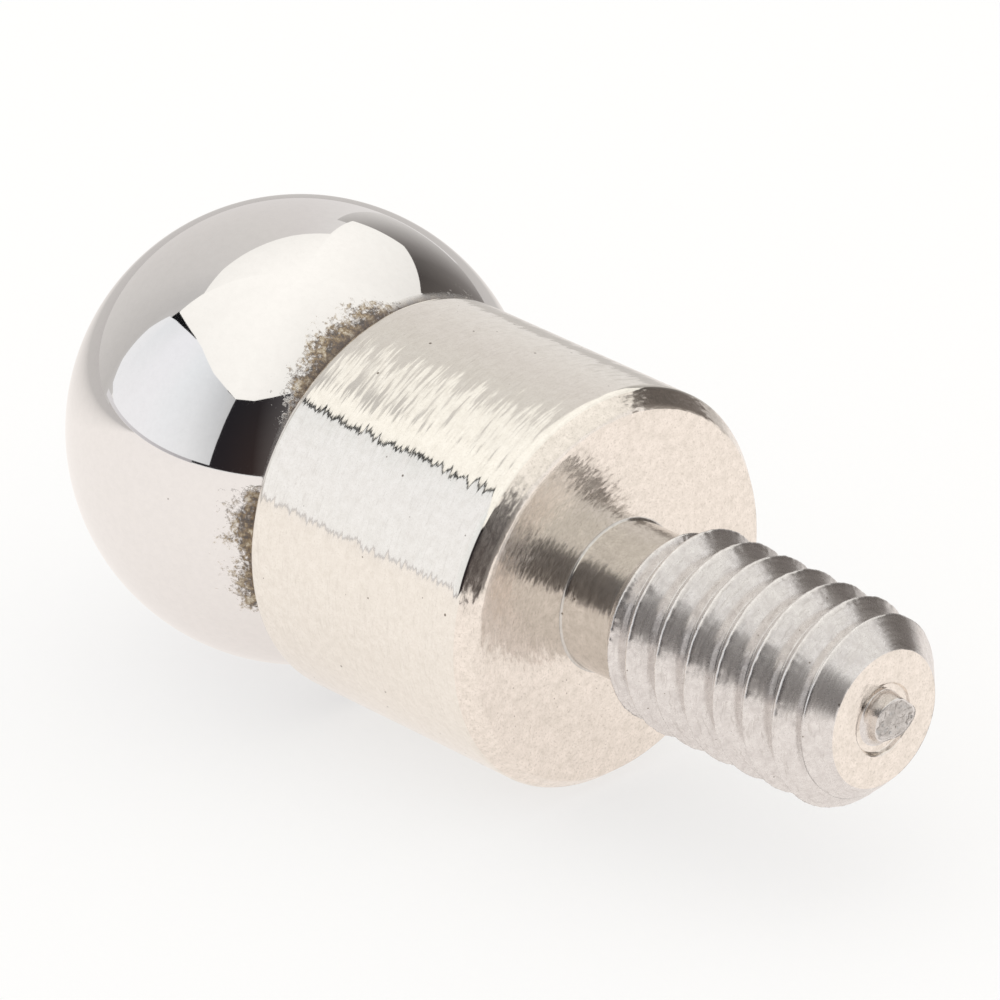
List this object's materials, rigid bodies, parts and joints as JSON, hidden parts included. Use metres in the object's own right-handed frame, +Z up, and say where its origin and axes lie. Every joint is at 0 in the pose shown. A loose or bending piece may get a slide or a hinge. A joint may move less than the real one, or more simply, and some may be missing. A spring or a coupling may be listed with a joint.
{
  "type": "indicator contact point",
  "caption": "Ball-ended contact point for a dial indicator: a polished ball brazed into a turned stud with a flat shoulder, a relieved neck and a short fine-threaded shank.",
  "frame": {"origin": "on the resting surface, at the centre of the bounding box's underside; the part lies on its ball and on the lower edge of its shoulder", "axes": "+X along the part, from the ball to the threaded end; the stud's axis dips by the rest angle of about 1.4 degrees from +X; +Z up"},
  "size_m": [0.0144, 0.0064, 0.0063],
  "materials": {
    "ball_steel": "lapped and mirror polished hardened bearing steel",
    "plated_steel": "turned steel with fine tool marks under a warm, bright nickel plate",
    "braze": "silver braze under brown flux scale"
  },
  "bodies": {
    "root": {"contact_ball": "ball_steel", "stud": "plated_steel", "braze_fillet": "braze"}
  },
  "joints": []
}
